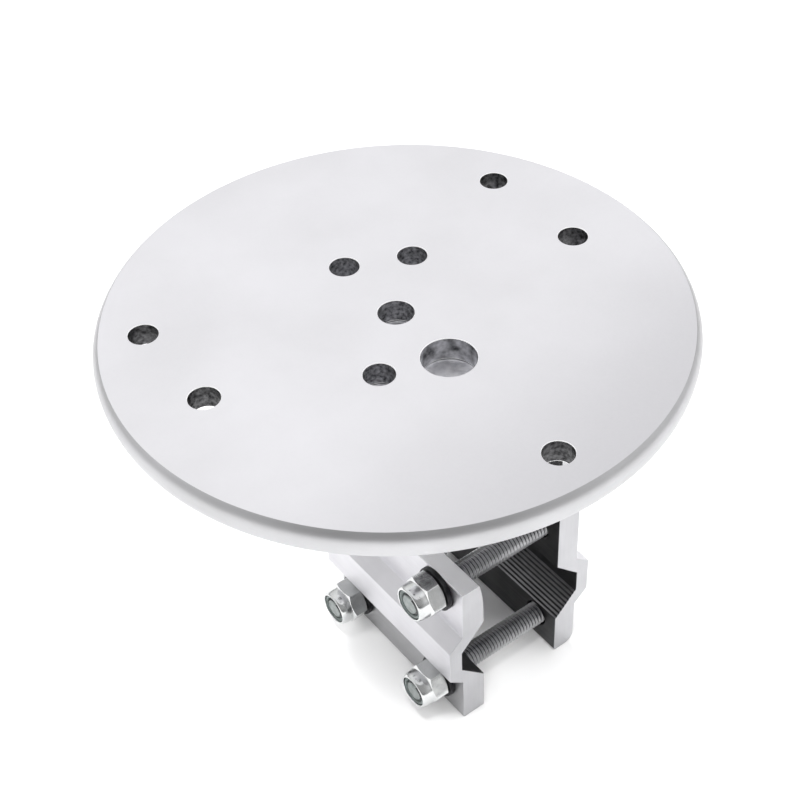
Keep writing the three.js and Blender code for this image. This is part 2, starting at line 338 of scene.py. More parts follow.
def hexagon(across_flats, corner_round=HEX_CORNER_ROUND):
    """A hexagon with rounded corners, the first at angle 0, and with its flats divided."""
    apothem = across_flats / 2
    arc_centre = (apothem - corner_round) / math.cos(math.radians(30))
    between = RING_POINTS // 6 - 3
    outline = []
    for side in range(6):
        corner = [Vector((arc_centre, 0)) + Vector((corner_round, 0)) @ Matrix.Rotation(-a, 2)
                  for a in (math.radians(-30), 0, math.radians(30))]
        next_start = corner[0] @ Matrix.Rotation(-math.radians(60), 2)
        flat = [corner[-1].lerp(next_start, (i + 1) / (between + 1)) for i in range(between)]
        outline.extend(p @ Matrix.Rotation(-math.radians(60 * side), 2) for p in corner + flat)
    return outline[1:] + outline[:1]


def scaled_to_circle(outline, radius):
    return [p.normalized() * radius for p in outline]


# Meshes

def along_x(outline, distances, centre):
    """A ring round an X axis. Its outline is (Y, Z) from the centre, at one distance or one for each point."""
    return [Vector((d, centre.y + p.x, centre.z + p.y)) for p, d in zip(outline, spread(distances, outline))]


def along_z(outline, distances, centre):
    return [Vector((centre.x + p.x, centre.y + p.y, d)) for p, d in zip(outline, spread(distances, outline))]


def spread(distances, outline):
    return distances if isinstance(distances, list) else [distances] * len(outline)


def lofted(rings, closed=False, caps=(True, True)):
    """A skin through rings of equally many points, closed on itself or with caps at its ends."""
    mesh = bmesh.new()
    rows = [[mesh.verts.new(point) for point in ring] for ring in rings]
    followers = rows[1:] + rows[:1] if closed else rows[1:]
    for low, high in zip(rows, followers):
        for i in range(len(low)):
            j = (i + 1) % len(low)
            mesh.faces.new((low[i], low[j], high[j], high[i]))
    if caps[0] and not closed:
        mesh.faces.new(rows[0][::-1])
    if caps[1] and not closed:
        mesh.faces.new(rows[-1])
    bmesh.ops.recalc_face_normals(mesh, faces=mesh.faces)
    return mesh


def piece_from(mesh, name, *looks):
    """An object of a finished bmesh in its looks, smooth between sharp edges, its flat faces kept flat."""
    data = bpy.data.meshes.new(name)
    mesh.to_mesh(data)
    mesh.free()
    piece = bpy.data.objects.new(name, data)
    bpy.context.scene.collection.objects.link(piece)
    for look in looks:
        data.materials.append(LOOKS[look])
    finish_shading(piece)
    return piece


def finish_shading(piece):
    piece.data.shade_smooth()
    piece.data.set_sharp_from_angle(angle=SHARP_ANGLE)
    if "even_normals" not in piece.modifiers:
        weighted = piece.modifiers.new("even_normals", "WEIGHTED_NORMAL")
        weighted.keep_sharp = True


def cut(piece, cutters):
    """Takes the cutters out of the piece."""
    tool = bpy.data.meshes.new("cutters")
    cutters.to_mesh(tool)
    cutters.free()
    tool_object = bpy.data.objects.new("cutters", tool)
    bpy.context.scene.collection.objects.link(tool_object)
    piece.modifiers.clear()
    boolean = piece.modifiers.new("holes", "BOOLEAN")
    boolean.operation = "DIFFERENCE"
    boolean.solver = "EXACT"
    boolean.object = tool_object
    evaluated = piece.evaluated_get(bpy.context.evaluated_depsgraph_get())
    cut_mesh = bpy.data.meshes.new_from_object(evaluated)
    piece.modifiers.clear()
    piece.data = cut_mesh
    bpy.data.objects.remove(tool_object)
    finish_shading(piece)


def hole_profile(radius, start, end, mouth=0.0):
    """[radius, distance] pairs of a hole's cutter, with rounded edges or a countersink at its end."""
    edge = HOLE_EDGE_ROUND
    turns = quarter(END_STEPS)
    profile = [(radius + edge, start - CUT_MARGIN)]
    profile += [(radius + edge * (1 - math.sin(t)), start + edge * (1 - math.cos(t))) for t in turns]
    if mouth > radius + edge:
        return [*profile, (radius, end - mouth + radius), (mouth + CUT_MARGIN, end + CUT_MARGIN)]
    profile += [(radius + edge * (1 - math.sin(t)), end - edge * (1 - math.cos(t))) for t in reversed(turns)]
    return [*profile, (radius + edge, end + CUT_MARGIN)]


def joined(meshes):
    whole = bmesh.new()
    for mesh in meshes:
        data = bpy.data.meshes.new("part")
        mesh.to_mesh(data)
        mesh.free()
        whole.from_mesh(data)
        bpy.data.meshes.remove(data)
    return whole


def painter(piece, looks):
    """A function that gives one of the piece's looks to every face that chosen(centre, normal) picks."""
    def paint(look, chosen):
        index = looks.index(look)
        for face in piece.data.polygons:
            if chosen(face.center, face.normal):
                face.material_index = index

    return paint


# Materials

def new_material(name):
    material = bpy.data.materials.new(name)
    material.use_nodes = True
    nodes = material.node_tree.nodes
    return material, nodes, material.node_tree.links, nodes["Principled BSDF"]


def object_coordinates(nodes, links, scale=(1, 1, 1)):
    place = nodes.new("ShaderNodeTexCoord")
    mapping = nodes.new("ShaderNodeMapping")
    mapping.inputs["Scale"].default_value = scale
    links.new(place.outputs["Object"], mapping.inputs["Vector"])
    return mapping.outputs["Vector"]


def noise(nodes, links, vector, scale, detail=3.0, roughness=0.5):
    texture = nodes.new("ShaderNodeTexNoise")
    texture.inputs["Scale"].default_value = scale
    texture.inputs["Detail"].default_value = detail
    texture.inputs["Roughness"].default_value = roughness
    links.new(vector, texture.inputs["Vector"])
    return texture.outputs["Fac"]


def ranged(nodes, links, value, low, high, start=0.3, end=0.7, smooth=False):
    """Maps start and end to low and high, evenly or along a smooth step."""
    remap = nodes.new("ShaderNodeMapRange")
    remap.interpolation_type = "SMOOTHSTEP" if smooth else "LINEAR"
    for name, number in (("From Min", start), ("From Max", end), ("To Min", low), ("To Max", high)):
        remap.inputs[name].default_value = number
    links.new(value, remap.inputs["Value"])
    return remap.outputs["Result"]


def direction(azimuth, elevation):
    """The unit vector at an azimuth from +X and an elevation above the floor, in degrees."""
    a, e = math.radians(azimuth), math.radians(elevation)
    return Vector((math.cos(a) * math.cos(e), math.sin(a) * math.cos(e), math.sin(e)))


def facing(nodes, links, place, vector):
    """How far a place lies along a vector."""
    product = nodes.new("ShaderNodeVectorMath")
    product.operation = "DOT_PRODUCT"
    product.inputs[1].default_value = vector
    links.new(place, product.inputs[0])
    return product.outputs["Value"]


def colour_between(nodes, links, factor, dark, light):
    mix = nodes.new("ShaderNodeMix")
    mix.data_type = "RGBA"
    mix.inputs["A"].default_value = (*dark, 1)
    mix.inputs["B"].default_value = (*light, 1)
    links.new(factor, mix.inputs["Factor"])
    return mix.outputs["Result"]


def bumped(nodes, links, height, distance, strength, below=None):
    bump = nodes.new("ShaderNodeBump")
    bump.inputs["Distance"].default_value = distance
    bump.inputs["Strength"].default_value = strength
    links.new(height, bump.inputs["Height"])
    if below is not None:
        links.new(below, bump.inputs["Normal"])
    return bump.outputs["Normal"]


def metal(name, dark, light, roughness, grain=(1, 1, 1), grain_scale=900, grain_bump=0.02,
          patch_scale=45, wave_bump=0.0, wave_scale=160):
    """A metal with cloudy tone, streaked or even grain in its roughness and bump, and a slow waviness."""
    material, nodes, links, shader = new_material(name)
    even = object_coordinates(nodes, links)
    grained = object_coordinates(nodes, links, grain)
    patches = ranged(nodes, links, noise(nodes, links, even, patch_scale), 0, 1)
    fine = noise(nodes, links, grained, grain_scale, detail=4.0, roughness=0.6)
    links.new(colour_between(nodes, links, patches, dark, light), shader.inputs["Base Color"])
    links.new(ranged(nodes, links, fine, *roughness), shader.inputs["Roughness"])
    shader.inputs["Metallic"].default_value = 1
    waves = None
    if wave_bump:
        waves = bumped(nodes, links, noise(nodes, links, even, wave_scale, detail=1.0), 1 * MM, wave_bump)
    links.new(bumped(nodes, links, fine, 0.1 * MM, grain_bump, waves), shader.inputs["Normal"])
    return material


def plate_top_metal():
    """Satin aluminium whose colour darkens towards one side: painted shade."""
    material = metal("plate_satin", (0.82, 0.815, 0.84), (0.88, 0.875, 0.905), (0.40, 0.50), grain_scale=1400,
                     grain_bump=0.05, patch_scale=28)
    nodes, links = material.node_tree.nodes, material.node_tree.links
    colour = nodes["Principled BSDF"].inputs["Base Color"]
    even = colour.links[0].from_socket
    across = facing(nodes, links, object_coordinates(nodes, links), direction(SHADE_SIDE_AZIMUTH, 0))
    painted_shade_mix = nodes.new("ShaderNodeMix")
    painted_shade_mix.data_type = "RGBA"
    painted_shade_mix.inputs["B"].default_value = SHADE_SIDE_TONE
    links.new(ranged(nodes, links, across, 0, 1, SHADE_SIDE_START, SHADE_SIDE_END, smooth=True), painted_shade_mix.inputs["Factor"])
    links.new(even, painted_shade_mix.inputs["A"])
    links.new(painted_shade_mix.outputs["Result"], colour)
    return material


def edge_metal(name, glint=0.0):
    """Bright metal as a painted highlight. The edge of a hole, too fine to light up by itself, can also glow
    as a painted glint.
    """
    material = metal(name, (0.93, 0.93, 0.94), (0.97, 0.97, 0.98), (0.55, 0.7), grain_scale=1400,
                     grain_bump=0.05, patch_scale=60)
    shader = material.node_tree.nodes["Principled BSDF"]
    shader.inputs["Emission Color"].default_value = (1, 1, 1, 1)
    shader.inputs["Emission Strength"].default_value = glint
    return material


def drilled_metal(name, dark, light, patch_scale):
    """The wall of a drilled hole: patches from dark to light, slightly blue, with the drill's marks. Its
    darker copies are painted shade and its lighter copies painted light.
    """
    return metal(name, (dark, dark, 1.06 * dark), (light, light, 1.03 * light), (0.3, 0.6), grain=(1, 1, 2.5),
                 grain_scale=1800, grain_bump=0.5, patch_scale=patch_scale)


def extruded_metal(name, dark, light, roughness, grain_bump):
    """Aluminium with drawing lines along the jaw."""
    return metal(name, dark, light, roughness, grain=(1, 0.02, 1), grain_scale=1500, grain_bump=grain_bump,
                 patch_scale=60)


def nylon():
    """Cloudy nylon that lets a little light in."""
    material, nodes, links, shader = new_material("nylon")
    place = object_coordinates(nodes, links)
    cloud = ranged(nodes, links, noise(nodes, links, place, 500), 0, 1)
    links.new(colour_between(nodes, links, cloud, (0.20, 0.24, 0.23), (0.32, 0.37, 0.36)),
              shader.inputs["Base Color"])
    links.new(ranged(nodes, links, noise(nodes, links, place, 1500), 0.42, 0.6), shader.inputs["Roughness"])
    shader.inputs["Subsurface Weight"].default_value = 0.15
    shader.inputs["Subsurface Radius"].default_value = (0.6 * MM, 0.6 * MM, 0.6 * MM)
    links.new(bumped(nodes, links, noise(nodes, links, place, 1800), 0.05 * MM, 0.3), shader.inputs["Normal"])
    return material


# Pieces

def build_plate():
    node = "mounting_plate"
    low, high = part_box(node)
    top_edge = max(p.xy.length for loop in flat_loops(node, Z_AXIS, high.z) for p in loop)
    bottom_edge = max(p.xy.length for loop in flat_loops(node, Z_AXIS, low.z) for p in loop)
    profile = rim_profile(low.z, high.z, bottom_edge, top_edge, high.x)
    rings = [along_z(circle(r, PLATE_POINTS), z, Vector()) for r, z in profile]
    piece = piece_from(lofted(rings), "plate", *PLATE_LOOKS)
    cutters = []
    for centre, radius in circles(node, Z_AXIS, high.z, top_edge / 2):
        outline = hole_profile(radius, low.z, high.z)
        cutters.append(lofted([along_z(circle(r, HOLE_POINTS), z, centre) for r, z in outline]))
    through = {round(c.x / MM, 1) for c, _ in circles(node, Z_AXIS, high.z, top_edge / 2)}
    for centre, radius in circles(node, Z_AXIS, low.z, top_edge / 2):
        if round(centre.x / MM, 1) not in through:
            cutters.append(tapped_cutter(centre, radius, low.z))
    cut(piece, joined(cutters))
    inside = top_edge - RIM_BAND
    paint = painter(piece, PLATE_LOOKS)
    paint("underside", lambda centre, normal: normal.z < -SQUARE_ON)
    # The rim takes its darker tone, painted shade
    paint("rim", lambda centre, normal: abs(normal.z) < SQUARE_ON and centre.xy.length > inside)
    # The rounded edges of the holes take the painted highlight
    paint("edge", lambda centre, normal: abs(normal.z) < SQUARE_ON and centre.xy.length < inside)
    # Hole walls: darkest painted shade in the outer holes, lighter over the foot, painted light in the large
    # bore
    paint("drilled", lambda centre, normal: abs(normal.z) < GRAZING and centre.xy.length < inside)
    paint("shaded", lambda centre, normal: abs(normal.z) < GRAZING and centre.xy.length < OVER_FOOT)
    for middle, radius in circles(node, Z_AXIS, high.z, top_edge / 2):
        if radius > LARGE_BORE:
            paint("bored", lambda centre, normal: abs(normal.z) < GRAZING
                  and (centre.xy - middle.xy).length < radius + WALL_BAND)
    return stand_in(piece, "base", "plate_metal", node)


def rim_profile(bottom, top, bottom_edge, top_edge, widest):
    """Radius and height pairs: two arcs that meet on the widest line, with a small round on each edge."""
    middle = (bottom + top) / 2
    half = (top - bottom) / 2
    profile = []
    for edge, side in ((bottom_edge, -1), (top_edge, 1)):
        bulge = widest - edge
        arc_radius = (half * half + bulge * bulge) / (2 * bulge)
        reach = math.asin(half / arc_radius)
        steps = range(RIM_STEPS + 1) if side > 0 else range(RIM_STEPS, 0, -1)
        for s in steps:
            turn = reach * s / RIM_STEPS
            radius = widest - arc_radius * (1 - math.cos(turn))
            profile.append((radius, middle + side * arc_radius * math.sin(turn)))
    return rounded_ends(profile, PLATE_EDGE_ROUND)


def rounded_ends(profile, radius):
    """Rounds the profile's first and last corner, where it meets the flat faces."""
    points = [Vector(p) for p in profile]
    first = fillet(Vector((0, points[0].y)), points[0], points[1], radius)
    last = fillet(points[-2], points[-1], Vector((0, points[-1].y)), radius)
    return [*first, *points[1:-1], *last]


def tapped_cutter(centre, radius, bottom):
    """A blind hole up into the plate, with a lead-in at its mouth."""
    lead = TAPPED_LEAD
    profile = [(radius + lead, bottom - CUT_MARGIN), (radius + lead, bottom), (radius, bottom + lead),
               (radius, bottom + TAPPED_DEPTH)]
    return lofted([along_z(circle(r), z, centre) for r, z in profile])


def stand_in(piece, body, slot, *nodes):
    """The piece takes the place of its CAD nodes and moves with their body."""
    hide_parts(*nodes)
    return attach(piece, body)


def build_jaw(node, name, body):
    """A jaw's extrusion with rounded edges, and its drilled holes."""
    low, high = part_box(node)
    outline = section(node)
    soft = softened(outline, JAW_EDGE_ROUND)
    rings = []
    for turn in quarter(END_STEPS):
        rim = inset(soft, JAW_END_ROUND * (1 - math.sin(turn)))
        y = low.y + JAW_END_ROUND * (1 - math.cos(turn))
        rings.append([Vector((p.x, y, p.y)) for p in rim])
    rings += [[Vector((p.x, low.y + high.y - p.y, p.z)) for p in ring] for ring in reversed(rings)]
    piece = piece_from(lofted(rings), name, *JAW_LOOKS)

    grip, back = grip_and_back(outline)
    inward = math.copysign(1, grip - back)
    bolt_radius = min(r for _, r in circles(node, X_AXIS, grip, LARGEST_HOLE))
    mouth = max(r for _, r in circles(node, X_AXIS, back, LARGEST_HOLE))
    bolt_holes = [(axis_of(f"clamp_bolt_{place}"), bolt_radius) for place in PLACES]
    screw_holes = circles(node, Z_AXIS, high.z, LARGEST_HOLE)
    foot_bottom = min(p.y for p in outline if p.x < low.x + TOLERANCE)
    cutters = []
    for centre, radius in bolt_holes:
        start, end = crossings(outline, centre.z)
        profile = hole_profile(radius, start, end, mouth)
        cutters.append(lofted([along_x(circle(r, HOLE_POINTS), x, centre) for r, x in profile]))
    for centre, radius in screw_holes:
        profile = hole_profile(radius, foot_bottom, high.z)
        cutters.append(lofted([along_z(circle(r, HOLE_POINTS), z, centre) for r, z in profile]))
    cut(piece, joined(cutters))

    def in_hole(point, normal):
        across = any((point.yz - c.yz).length < r + WALL_BAND for c, r in bolt_holes)
        upright = any((point.xy - c.xy).length < r + WALL_BAND for c, r in screw_holes)
        return (across and abs(normal.x) < TILTED
                or upright and abs(normal.z) < TILTED and point.z > foot_bottom)

    def grips(point, normal):
        return normal.x * inward > GRAZING and abs(point.x - grip) < GRIP_DEPTH

    def tooth_top(point, normal):
        return grips(point, normal) and abs(normal.y) < EDGE_ON and abs(normal.z) > abs(normal.x)

    def underneath(point, normal):
        return normal.z < -EDGE_ON and point.z < low.z + END_BAND

    def below_ridge(point, normal):
        return normal.x * inward < -TILTED and point.z < SKIRT_TOP

    def on_top(point, normal):
        return normal.z > SQUARE_ON and point.z > high.z - END_BAND

    paint = painter(piece, JAW_LOOKS)
    # Painted shade on the moving jaw's outer face below the ridge
    if node == "moving_jaw":
        paint("skirt", below_ridge)
    paint("cut_end", lambda point, normal: abs(normal.y) > SQUARE_ON)
    # Painted light on the tops: the foot's top and the moving jaw's top
    paint("foot" if screw_holes else "top", on_top)
    # Painted shade on the gripping faces
    paint("grip", grips)
    # The teeth's tops take a lighter painted shade
    paint("tooth", tooth_top)
    # Painted shadow: faces underneath a jaw take the gripping faces' dark tone as a contact line
    paint("grip", underneath)
    # The walls of the jaws' holes take the darkest painted shade
    paint("drilled", in_hole)
    return stand_in(piece, body, "jaw_metal", node)


def grip_and_back(outline):
    """X of a jaw's gripping face and of its back, low down. The face is the nearer to the clamp's middle."""
    middle = axis_of("clamp_bolt_lower_front").x
    return sorted(crossings(outline, GRIP_LEVEL), key=lambda x: abs(x - middle))


# Threads and hardware

def thread(radius, pitch, start, end, tip_at_start, place, centre):
    """An open skin of a right-hand thread. Its rows follow the helix and gather at the thread's ends."""
    depth = pitch * THREAD_DEPTH_SHARE
    root_radius = radius - depth
    tip_radius = root_radius - TIP_STEP
    count = len(THREAD_PROFILE)
    rows = count * math.ceil((end - start) / pitch + 1)
    mesh = bmesh.new()

    def point(k, i):
        share, deep = THREAD_PROFILE[k % count]
        along = start + pitch * (k // count - 1 + share + i / RING_POINTS)
        along = min(max(along, start), end)
        from_tip, from_root = (along - start, end - along) if tip_at_start else (end - along, along - start)
        r = min(radius - depth * deep, tip_radius + from_tip, root_radius + from_root)
        turn = math.tau * i / RING_POINTS
        return place([Vector((r * math.cos(turn), r * math.sin(turn)))], along, centre)[0]

    grid = [[mesh.verts.new(point(k, i)) for i in range(RING_POINTS)] for k in range(rows + 1)]
    for k in range(rows):
        for i in range(RING_POINTS - 1):
            mesh.faces.new((grid[k][i], grid[k][i + 1], grid[k + 1][i + 1], grid[k + 1][i]))
        low, high = grid[min(k + count, rows)][0], grid[min(k + 1 + count, rows)][0]
        corners = [grid[k][-1], low, high, grid[k + 1][-1]]
        mesh.faces.new(corners if low is not high else corners[:2] + corners[3:])
    return mesh


def welded(parts):
    """One closed skin from open parts whose edges meet."""
    mesh = joined(parts)
    bmesh.ops.remove_doubles(mesh, verts=mesh.verts, dist=WELD)
    bmesh.ops.dissolve_degenerate(mesh, edges=mesh.edges, dist=WELD)
    bmesh.ops.recalc_face_normals(mesh, faces=mesh.faces)
    return mesh


def end_cap(radius, along, place, centre):
    mesh = bmesh.new()
    mesh.faces.new([mesh.verts.new(p) for p in place(circle(radius), along, centre)])
    return mesh


def chamfer_drop(outline, circle_radius):
    """How far a 30 degree chamfer that starts on a circle has dropped at each point of the outline."""
    return [max(0.0, p.length - circle_radius) * HEX_CHAMFER_SLOPE for p in outline]


def build_bolt(place):
    """A countersunk socket screw, threaded for its whole length, its head flush in the fixed jaw."""
    node = f"clamp_bolt_{place}"
    low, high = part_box(node)
    axis = axis_of(node)
    head = (high.z - low.z) / 2
    cone_start = high.x - (head - BOLT_RADIUS)
    root = BOLT_RADIUS - BOLT_PITCH * THREAD_DEPTH_SHARE
    key = hexagon(KEY_ACROSS_FLATS, KEY_CORNER_ROUND)
    rings = [
        along_x(circle(root), cone_start, axis),
        along_x(circle(BOLT_RADIUS), cone_start, axis),
        along_x(circle(head - HEAD_EDGE), high.x - HEAD_EDGE, axis),
        along_x(circle(head - HEAD_EDGE_MIDDLE[0]), high.x - HEAD_EDGE_MIDDLE[1], axis),
        along_x(circle(head - HEAD_EDGE), high.x, axis),
        along_x(scaled_to_circle(key, KEY_MOUTH * KEY_ACROSS_FLATS), high.x, axis),
        along_x(key, high.x - KEY_LEAD, axis),
        along_x(key, high.x - KEY_DEPTH, axis),
    ]
    parts = [
        end_cap(root - TIP_STEP, low.x, along_x, axis),
        thread(BOLT_RADIUS, BOLT_PITCH, low.x, cone_start, True, along_x, axis),
        lofted(rings, caps=(False, True)),
    ]
    piece = piece_from(welded(parts), f"countersunk_bolt_{place}", *BOLT_LOOKS)
    groove = BOLT_RADIUS - ROOT_SHARE * (BOLT_RADIUS - root)
    paint = painter(piece, BOLT_LOOKS)
    # Painted shade in the thread's roots
    paint("root", lambda point, normal: TIP_STEP < point.x - low.x < cone_start - low.x
          and (point.yz - axis.yz).length < groove)
    paint("tip", lambda point, normal: point.x < low.x + TIP_STEP)
    return stand_in(piece, "base", "bolt_steel", node)


def build_nut(place):
    """A hexagon with chamfered faces and a rounded collar, which holds the nylon ring's pocket."""
    node = f"lock_nut_{place}"
    low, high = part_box(node)
    axis = axis_of(node)
    flats = high.z - low.z
    hexa = hexagon(flats)
    face = CHAMFER_CIRCLE_SHARE * flats / 2
    crease = COLLAR_RADIUS + COLLAR_CREASE
    hex_end = high.x - NUT_HEX_HEIGHT
    pocket_end = high.x - NUT_POCKET_FROM_SEAT
    seat_drop = chamfer_drop(hexa, face)
    collar_drop = chamfer_drop(hexa, crease)
    rings = [
        along_x(circle(NUT_BORE + NUT_BORE_LEAD), high.x, axis),
        along_x(scaled_to_circle(hexa, face), high.x, axis),
        along_x(hexa, [high.x - d for d in seat_drop], axis),
        along_x(hexa, [hex_end + d for d in collar_drop], axis),
        along_x(scaled_to_circle(hexa, crease), hex_end, axis),
        along_x(circle(COLLAR_RADIUS), hex_end - COLLAR_CREASE_ALONG, axis),
    ]
    lip_centre = COLLAR_RADIUS - COLLAR_ROUND_ACROSS
    for turn in quarter(DOME_STEPS):
        along = low.x + COLLAR_ROUND_ALONG * (1 - math.sin(turn))
        rings.append(along_x(circle(lip_centre + COLLAR_ROUND_ACROSS * math.cos(turn)), along, axis))
    for turn in quarter(LIP_STEPS)[1:]:
        along = low.x + LIP_ROUND * (1 - math.cos(turn))
        rings.append(along_x(circle(lip_centre - LIP_ROUND * math.sin(turn)), along, axis))
    rings += [
        along_x(circle(POCKET_RADIUS), pocket_end, axis),
        along_x(circle(NUT_BORE), pocket_end, axis),
        along_x(circle(NUT_BORE), high.x - NUT_BORE_LEAD, axis),
    ]
    piece = piece_from(lofted(rings, closed=True), f"hex_lock_nut_{place}", "nut")
    return stand_in(piece, f"nut_{place}", "nut_steel", node)


def build_insert(place):
    """The nylon ring in a nut's collar, dished towards the bolt that it grips."""
    node = f"nut_insert_{place}"
    low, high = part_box(node)
    outer = (high.z - low.z) / 2
    inner = BOLT_RADIUS + INSERT_GAP
    profile = [
        (outer, high.x),
        *((outer - inwards, low.x + along) for inwards, along in INSERT_RIM),
        *((inner + outwards, low.x + along) for outwards, along in INSERT_DISH),
        (inner, high.x),
    ]
    rings = [along_x(circle(r), x, axis_of(node)) for r, x in profile]
    piece = piece_from(lofted(rings, closed=True), f"nylon_ring_{place}", "nylon")
    return stand_in(piece, f"nut_{place}", "nylon", node)


def build_washer(node, name, body, inner, axis, place):
    """A stamped washer: rounded on the side it was punched from, crisp on the other."""
    low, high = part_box(node)
    start, end = low[axis], high[axis]
    outer = (high.y - low.y) / 2
    lead, crisp_inner, crisp_outer = WASHER_BORE_LEAD, WASHER_CRISP_INNER, WASHER_CRISP_OUTER
    profile = [(inner + lead, start), (inner, start + lead), (inner, end - crisp_inner),
               (inner + crisp_inner, end), (outer - crisp_outer, end), (outer, end - crisp_outer)]
    for turn in quarter(WASHER_ROUND_STEPS):
        reach = WASHER_ROUND
        profile.append((outer - reach * (1 - math.cos(turn)), start + reach * (1 - math.sin(turn))))
    rings = [place(circle(r, HOLE_POINTS), along, axis_of(node)) for r, along in profile]
    piece = piece_from(lofted(rings, closed=True), name, "washer")
    return stand_in(piece, body, "washer_steel", node)


def build_plate_screw(number):
    """A socket-head screw, threaded up into the plate, with a knurled head below the foot."""
    node = f"plate_screw_{number}"
    low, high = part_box(node)
    axis = axis_of(node)
    head = (high.x - low.x) / 2
    head_top = low.z + SCREW_HEAD_HEIGHT
    socket = hexagon(SOCKET_ACROSS_FLATS, KEY_CORNER_ROUND)
    knurled = [p * (1 if i % 2 else KNURL_VALLEY) for i, p in enumerate(circle(head))]
    root = SCREW_RADIUS - SCREW_PITCH * THREAD_DEPTH_SHARE
    rings = [
        along_z(socket, low.z + SOCKET_DEPTH, axis),
        along_z(socket, low.z + SOCKET_LEAD, axis),
        along_z(scaled_to_circle(socket, SOCKET_ACROSS_FLATS / 2 + SOCKET_LEAD_ACROSS), low.z, axis),
    ]
    for turn in quarter(HEAD_ROUND_STEPS):
        radius = head - SCREW_HEAD_ROUND * (1 - math.sin(turn)) - SCREW_HEAD_STEP
        rings.append(along_z(circle(radius), low.z + SCREW_HEAD_ROUND * (1 - math.cos(turn)), axis))
    rings += [
        along_z(knurled, low.z + KNURL_START, axis),
        along_z(knurled, head_top - KNURL_END, axis),
        along_z(circle(head - SCREW_HEAD_EDGE), head_top, axis),
        along_z(circle(root), head_top, axis),
    ]
    parts = [
        lofted(rings, caps=(True, False)),
        thread(SCREW_RADIUS, SCREW_PITCH, head_top, high.z, False, along_z, axis),
        end_cap(root - TIP_STEP, high.z, along_z, axis),
    ]
    piece = piece_from(welded(parts), f"socket_screw_{number}", "screw")
    return stand_in(piece, "base", "screw_steel", node)


# Stage

def build_floor():
    mesh = bmesh.new()
    bmesh.ops.create_grid(mesh, x_segments=1, y_segments=1, size=FLOOR_HALF)
    data = bpy.data.meshes.new("floor")
    mesh.to_mesh(data)
    mesh.free()
    floor = bpy.data.objects.new("floor", data)
    floor.location = (0, 0, CAD_BOX[0].z - FLOOR_DROP)
    bpy.context.scene.collection.objects.link(floor)
    material, _, _, shader = new_material("pale_floor")
    shader.inputs["Base Color"].default_value = FLOOR_TONE
    shader.inputs["Roughness"].default_value = 1.0
    shader.inputs["Specular IOR Level"].default_value = 0.0
    data.materials.append(material)
    return floor


def build_camera():
    low, high = CAD_BOX
    target = Vector((LOOK_AT.x, LOOK_AT.y, high.z))
    towards = direction(CAMERA_AZIMUTH, CAMERA_ELEVATION)
    data = bpy.data.cameras.new("camera")
    data.lens = LENS
    data.sensor_width = SENSOR
    data.clip_start = 0.01
    camera = bpy.data.objects.new("camera", data)
    camera.location = target + towards * CAMERA_DISTANCE
    level = (-towards).to_track_quat("-Z", "Y")
    roll = Matrix.Rotation(math.radians(CAMERA_ROLL), 3, "Z").to_quaternion()
    camera.rotation_mode = "QUATERNION"
    camera.rotation_quaternion = level @ roll
    bpy.context.scene.collection.objects.link(camera)
    bpy.context.scene.camera = camera


def build_world():
    """A room that is brightest overhead, dim along the horizon and dark behind the camera, as a studio is.

    It shows in the metals' reflections and doesn't light the floor, which has lamps of its own."""
    world = bpy.data.worlds.new("studio")
    bpy.context.scene.world = world
    world.use_nodes = True
    nodes, links = world.node_tree.nodes, world.node_tree.links
    background = nodes["Background"]
    place = nodes.new("ShaderNodeTexCoord")

    def towards(vector):
        return facing(nodes, links, place.outputs["Generated"], vector)

    full = math.sin(math.radians(ROOM_FULL_ELEVATION))
    core, fade = math.cos(math.radians(DARK_CORE)), math.cos(math.radians(DARK_FADE))
    up = towards(Vector((0, 0, 1)))
    camera_side = towards(direction(CAMERA_AZIMUTH, DARK_ELEVATION))
    room = ranged(nodes, links, up, ROOM_HORIZON, ROOM_LIGHT, 0, full, smooth=True)
    dark = ranged(nodes, links, camera_side, 1, ROOM_DARK, fade, core, smooth=True)
    product = nodes.new("ShaderNodeMath")
    product.operation = "MULTIPLY"
    links.new(room, product.inputs[0])
    links.new(dark, product.inputs[1])
    links.new(product.outputs["Value"], background.inputs["Strength"])
    world.cycles_visibility.diffuse = False
    background.inputs["Color"].default_value = (1, 1, 1, 1)


def collection_of(name, objects):
    group = bpy.data.collections.new(name)
    for item in objects:
        group.objects.link(item)
    return group


def build_floor_lamps(floor, blockers):
    """Lamps that light the floor alone and are blocked by the clamp alone, so that the floor stays white."""
    lit = collection_of("lit_floor", [floor])
    shading = collection_of("shadow_casters", blockers)
    for name, energy, spread, azimuth, elevation in FLOOR_LAMPS:
        data = bpy.data.lights.new(name, "SUN")
        data.energy = energy
        data.angle = math.radians(spread)
        lamp = bpy.data.objects.new(name, data)
        lamp.rotation_mode = "QUATERNION"
        lamp.rotation_quaternion = (-direction(azimuth, elevation)).to_track_quat("-Z", "Y")
        lamp.light_linking.receiver_collection = lit
        lamp.light_linking.blocker_collection = shading
        bpy.context.scene.collection.objects.link(lamp)


